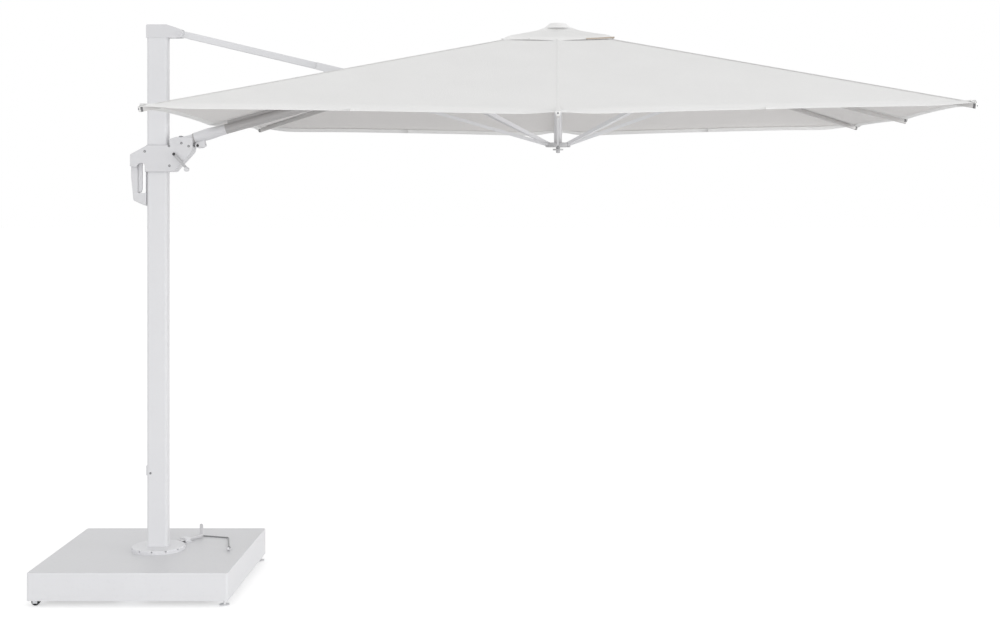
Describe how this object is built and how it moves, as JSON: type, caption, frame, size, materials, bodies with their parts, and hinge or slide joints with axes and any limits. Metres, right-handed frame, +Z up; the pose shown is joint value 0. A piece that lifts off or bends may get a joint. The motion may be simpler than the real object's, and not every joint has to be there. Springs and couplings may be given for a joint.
{
  "type": "cantilever parasol",
  "caption": "Rectangular canopy on a boom that a tie and a slider carry from a side mast, with winding crank, side tilt and a ballasted turning base on feet and wheels.",
  "frame": {"origin": "on the ground, on the turning axis of the mast", "axes": "+X from the mast towards the canopy hub, +Y to the rear, +Z up"},
  "size_m": [4.2578, 2.607, 2.8],
  "materials": {
    "white_coated_steel": "satin",
    "white_coated_aluminium": "satin",
    "white_moulding": "satin",
    "black_steel": "satin",
    "zinc_steel": "satin",
    "black_rubber": "matte",
    "grey_plastic": "matte",
    "concrete": "matte",
    "canopy_fabric": "matte"
  },
  "bodies": {
    "base": {"base_cover": "white_coated_steel", "base_frame": "zinc_steel", "ballast_slabs": "concrete", "base_flange": "white_coated_steel", "flange_bolts": "zinc_steel", "swivel_post": "zinc_steel", "wheel_brackets": "zinc_steel", "lock_guide": "white_coated_steel"},
    "wheel_front": {"wheel_front": "black_rubber"},
    "foot_front": {"levelling_foot_front": "grey_plastic"},
    "wheel_rear": {"wheel_rear": "black_rubber"},
    "foot_rear": {"levelling_foot_rear": "grey_plastic"},
    "lock": {"lock_plate": "zinc_steel", "release_rod": "black_steel"},
    "mast": {"mast_foot": "white_coated_steel", "mast_tube": "white_coated_aluminium", "swivel_bushes": "grey_plastic", "lower_stop": "white_moulding", "mast_cap": "white_moulding", "head_pin": "zinc_steel"},
    "tie": {"tie_eye": "white_coated_aluminium", "tie_tube": "white_coated_aluminium", "tie_fork": "white_coated_aluminium"},
    "carrier": {"boom_knuckle": "white_coated_aluminium", "tilt_collar": "white_coated_aluminium"},
    "slider": {"slider_shell_front": "white_moulding", "slider_shell_rear": "white_moulding", "slide_bushes": "grey_plastic", "boom_pin": "zinc_steel", "trigger_pin": "zinc_steel"},
    "trigger": {"release_trigger": "white_moulding"},
    "crank": {"crank_handle": "white_coated_aluminium"},
    "crank_knob": {"crank_knob": "white_moulding"},
    "boom": {"boom_tube": "white_coated_aluminium", "boom_head": "white_coated_aluminium", "boom_cradle": "white_coated_aluminium", "boom_rail": "white_coated_aluminium", "grip_sleeve": "white_moulding"},
    "tilt_button": {"tilt_button": "white_moulding"},
    "crown": {"crown": "white_moulding", "hub_tube": "white_coated_aluminium", "finial": "white_moulding", "canopy": "canopy_fabric", "vent_cap": "canopy_fabric"},
    "runner": {"runner": "white_moulding"},
    "rib_outer": {"rib_outer": "white_coated_aluminium"},
    "strut_outer": {"strut_outer": "white_coated_aluminium"},
    "rib_outer_rear": {"rib_outer_rear": "white_coated_aluminium"},
    "strut_outer_rear": {"strut_outer_rear": "white_coated_aluminium"},
    "rib_rear": {"rib_rear": "white_coated_aluminium"},
    "strut_rear": {"strut_rear": "white_coated_aluminium"},
    "rib_mast_rear": {"rib_mast_rear": "white_coated_aluminium"},
    "strut_mast_rear": {"strut_mast_rear": "white_coated_aluminium"},
    "strut_boom": {"strut_boom": "white_coated_aluminium"},
    "rib_mast_front": {"rib_mast_front": "white_coated_aluminium"},
    "strut_mast_front": {"strut_mast_front": "white_coated_aluminium"},
    "rib_front": {"rib_front": "white_coated_aluminium"},
    "strut_front": {"strut_front": "white_coated_aluminium"},
    "rib_outer_front": {"rib_outer_front": "white_coated_aluminium"},
    "strut_outer_front": {"strut_outer_front": "white_coated_aluminium"}
  },
  "joints": [
    {"name": "wheel_front_roll", "type": "hinge", "parent": "base", "child": "wheel_front", "pos_m": [-0.469, -0.43, 0.019], "axis": [0, 1, 0], "continuous": true},
    {"name": "foot_front_level", "type": "slide", "parent": "base", "child": "foot_front", "axis": [0, 0, -1], "range_m": [0, 0.015]},
    {"name": "wheel_rear_roll", "type": "hinge", "parent": "base", "child": "wheel_rear", "pos_m": [-0.469, 0.43, 0.019], "axis": [0, 1, 0], "continuous": true},
    {"name": "foot_rear_level", "type": "slide", "parent": "base", "child": "foot_rear", "axis": [0, 0, -1], "range_m": [0, 0.015]},
    {"name": "rotation_lock", "type": "slide", "parent": "base", "child": "lock", "axis": [-0.5, -0.866, 0], "range_m": [0, 0.009]},
    {"name": "mast_swivel", "type": "hinge", "parent": "base", "child": "mast", "pos_m": [0, 0, 0.1703], "axis": [0, 0, 1], "continuous": true},
    {"name": "fold", "type": "hinge", "parent": "mast", "child": "tie", "pos_m": [0.11, 0, 2.749], "axis": [0, 1, 0], "range_deg": [0, 60], "deforming": ["canopy", "vent_cap"]},
    {"name": "knee", "type": "hinge", "parent": "tie", "child": "carrier", "pos_m": [1.01391, 0, 2.4775], "axis": [0, 1, 0], "range_deg": [-120, 0]},
    {"name": "slider_pivot", "type": "hinge", "parent": "carrier", "child": "slider", "pos_m": [0.11, 0, 2.206], "axis": [0, 1, 0], "range_deg": [0, 60]},
    {"name": "trigger_squeeze", "type": "hinge", "parent": "slider", "child": "trigger", "pos_m": [-0.09, 0, 2.108], "axis": [0, 1, 0], "range_deg": [0, 5], "stiffness_Nm_per_rad": 2, "springref_deg": -8.59},
    {"name": "crank_turn", "type": "hinge", "parent": "slider", "child": "crank", "pos_m": [0.092, 0, 2.144], "axis": [0, 1, 0], "range_deg": [0, 4634.32]},
    {"name": "crank_knob_spin", "type": "hinge", "parent": "crank", "child": "crank_knob", "pos_m": [0.15972, -0.09, 2.06772], "axis": [0, 1, 0], "continuous": true},
    {"name": "side_tilt", "type": "hinge", "parent": "carrier", "child": "boom", "pos_m": [0.11, 0, 2.206], "axis": [0.963, 0, 0.2696], "range_deg": [-20, 20]},
    {"name": "tilt_button_press", "type": "slide", "parent": "boom", "child": "tilt_button", "axis": [-0.2696, 0, 0.963], "range_m": [0, 0.003], "stiffness_N_per_m": 400, "springref_m": -0.003},
    {"name": "crown_hinge", "type": "hinge", "parent": "boom", "child": "crown", "pos_m": [1.93, 0, 2.71552], "axis": [0, 1, 0], "range_deg": [0, 60]},
    {"name": "runner_slide", "type": "slide", "parent": "crown", "child": "runner", "axis": [0, 0, -1], "range_m": [0, 1.214]},
    {"name": "rib_outer_hinge", "type": "hinge", "parent": "crown", "child": "rib_outer", "pos_m": [2.08, 0, 2.72802], "axis": [0, 1, 0], "range_deg": [0, 64.81]},
    {"name": "strut_outer_hinge", "type": "hinge", "parent": "rib_outer", "child": "strut_outer", "pos_m": [2.91338, 0, 2.49667], "axis": [0, 1, 0], "range_deg": [-124.34, 0]},
    {"name": "rib_outer_rear_hinge", "type": "hinge", "parent": "crown", "child": "rib_outer_rear", "pos_m": [2.06521, 0.04472, 2.72802], "axis": [-0.5963, 0.8027, 0], "range_deg": [0, 68.03]},
    {"name": "strut_outer_rear_hinge", "type": "hinge", "parent": "rib_outer_rear", "child": "strut_outer_rear", "pos_m": [2.73122, 0.53948, 2.54687], "axis": [-0.5963, 0.8027, 0], "range_deg": [-124.93, 0]},
    {"name": "rib_rear_hinge", "type": "hinge", "parent": "crown", "child": "rib_rear", "pos_m": [2.005, 0.075, 2.72802], "axis": [-1, 0, 0], "range_deg": [0, 58.89]},
    {"name": "strut_rear_hinge", "type": "hinge", "parent": "rib_rear", "child": "strut_rear", "pos_m": [2.005, 0.90803, 2.40162], "axis": [-1, 0, 0], "range_deg": [-123.49, 0]},
    {"name": "rib_mast_rear_hinge", "type": "hinge", "parent": "crown", "child": "rib_mast_rear", "pos_m": [1.94479, 0.04472, 2.72802], "axis": [-0.5963, -0.8027, 0], "range_deg": [0, 67.66]},
    {"name": "strut_mast_rear_hinge", "type": "hinge", "parent": "rib_mast_rear", "child": "strut_mast_rear", "pos_m": [1.27833, 0.53981, 2.54119], "axis": [-0.5963, -0.8027, 0], "range_deg": [-124.86, 0]},
    {"name": "strut_boom_hinge", "type": "hinge", "parent": "boom", "child": "strut_boom", "pos_m": [1.09357, 0, 2.43982], "axis": [0, -1, 0], "range_deg": [-120.61, 0]},
    {"name": "rib_mast_front_hinge", "type": "hinge", "parent": "crown", "child": "rib_mast_front", "pos_m": [1.94479, -0.04472, 2.72802], "axis": [0.5963, -0.8027, 0], "range_deg": [0, 67.66]},
    {"name": "strut_mast_front_hinge", "type": "hinge", "parent": "rib_mast_front", "child": "strut_mast_front", "pos_m": [1.27833, -0.53981, 2.54119], "axis": [0.5963, -0.8027, 0], "range_deg": [-124.86, 0]},
    {"name": "rib_front_hinge", "type": "hinge", "parent": "crown", "child": "rib_front", "pos_m": [2.005, -0.075, 2.72802], "axis": [1, 0, 0], "range_deg": [0, 58.89]},
    {"name": "strut_front_hinge", "type": "hinge", "parent": "rib_front", "child": "strut_front", "pos_m": [2.005, -0.90803, 2.40162], "axis": [1, 0, 0], "range_deg": [-123.49, 0]},
    {"name": "rib_outer_front_hinge", "type": "hinge", "parent": "crown", "child": "rib_outer_front", "pos_m": [2.06521, -0.04472, 2.72802], "axis": [0.5963, 0.8027, 0], "range_deg": [0, 68.03]},
    {"name": "strut_outer_front_hinge", "type": "hinge", "parent": "rib_outer_front", "child": "strut_outer_front", "pos_m": [2.73122, -0.53948, 2.54687], "axis": [0.5963, 0.8027, 0], "range_deg": [-124.93, 0]}
  ],
  "couplings": [
    {"joint": "knee", "follows": "fold", "ratio": -2},
    {"joint": "slider_pivot", "follows": "fold", "ratio": 1},
    {"joint": "crank_turn", "follows": "fold", "ratio": 77.222},
    {"joint": "crown_hinge", "follows": "fold", "ratio": 1},
    {"joint": "runner_slide", "follows": "fold", "m_per_rad": 1.1583},
    {"joint": "rib_outer_hinge", "follows": "fold", "ratio": 1.0802},
    {"joint": "strut_outer_hinge", "follows": "fold", "ratio": -2.0723},
    {"joint": "rib_outer_rear_hinge", "follows": "fold", "ratio": 1.1339},
    {"joint": "strut_outer_rear_hinge", "follows": "fold", "ratio": -2.0821},
    {"joint": "rib_rear_hinge", "follows": "fold", "ratio": 0.98141},
    {"joint": "strut_rear_hinge", "follows": "fold", "ratio": -2.0581},
    {"joint": "rib_mast_rear_hinge", "follows": "fold", "ratio": 1.1277},
    {"joint": "strut_mast_rear_hinge", "follows": "fold", "ratio": -2.0809},
    {"joint": "strut_boom_hinge", "follows": "fold", "ratio": -2.0102},
    {"joint": "rib_mast_front_hinge", "follows": "fold", "ratio": 1.1277},
    {"joint": "strut_mast_front_hinge", "follows": "fold", "ratio": -2.0809},
    {"joint": "rib_front_hinge", "follows": "fold", "ratio": 0.98141},
    {"joint": "strut_front_hinge", "follows": "fold", "ratio": -2.0581},
    {"joint": "rib_outer_front_hinge", "follows": "fold", "ratio": 1.1339},
    {"joint": "strut_outer_front_hinge", "follows": "fold", "ratio": -2.0821}
  ]
}
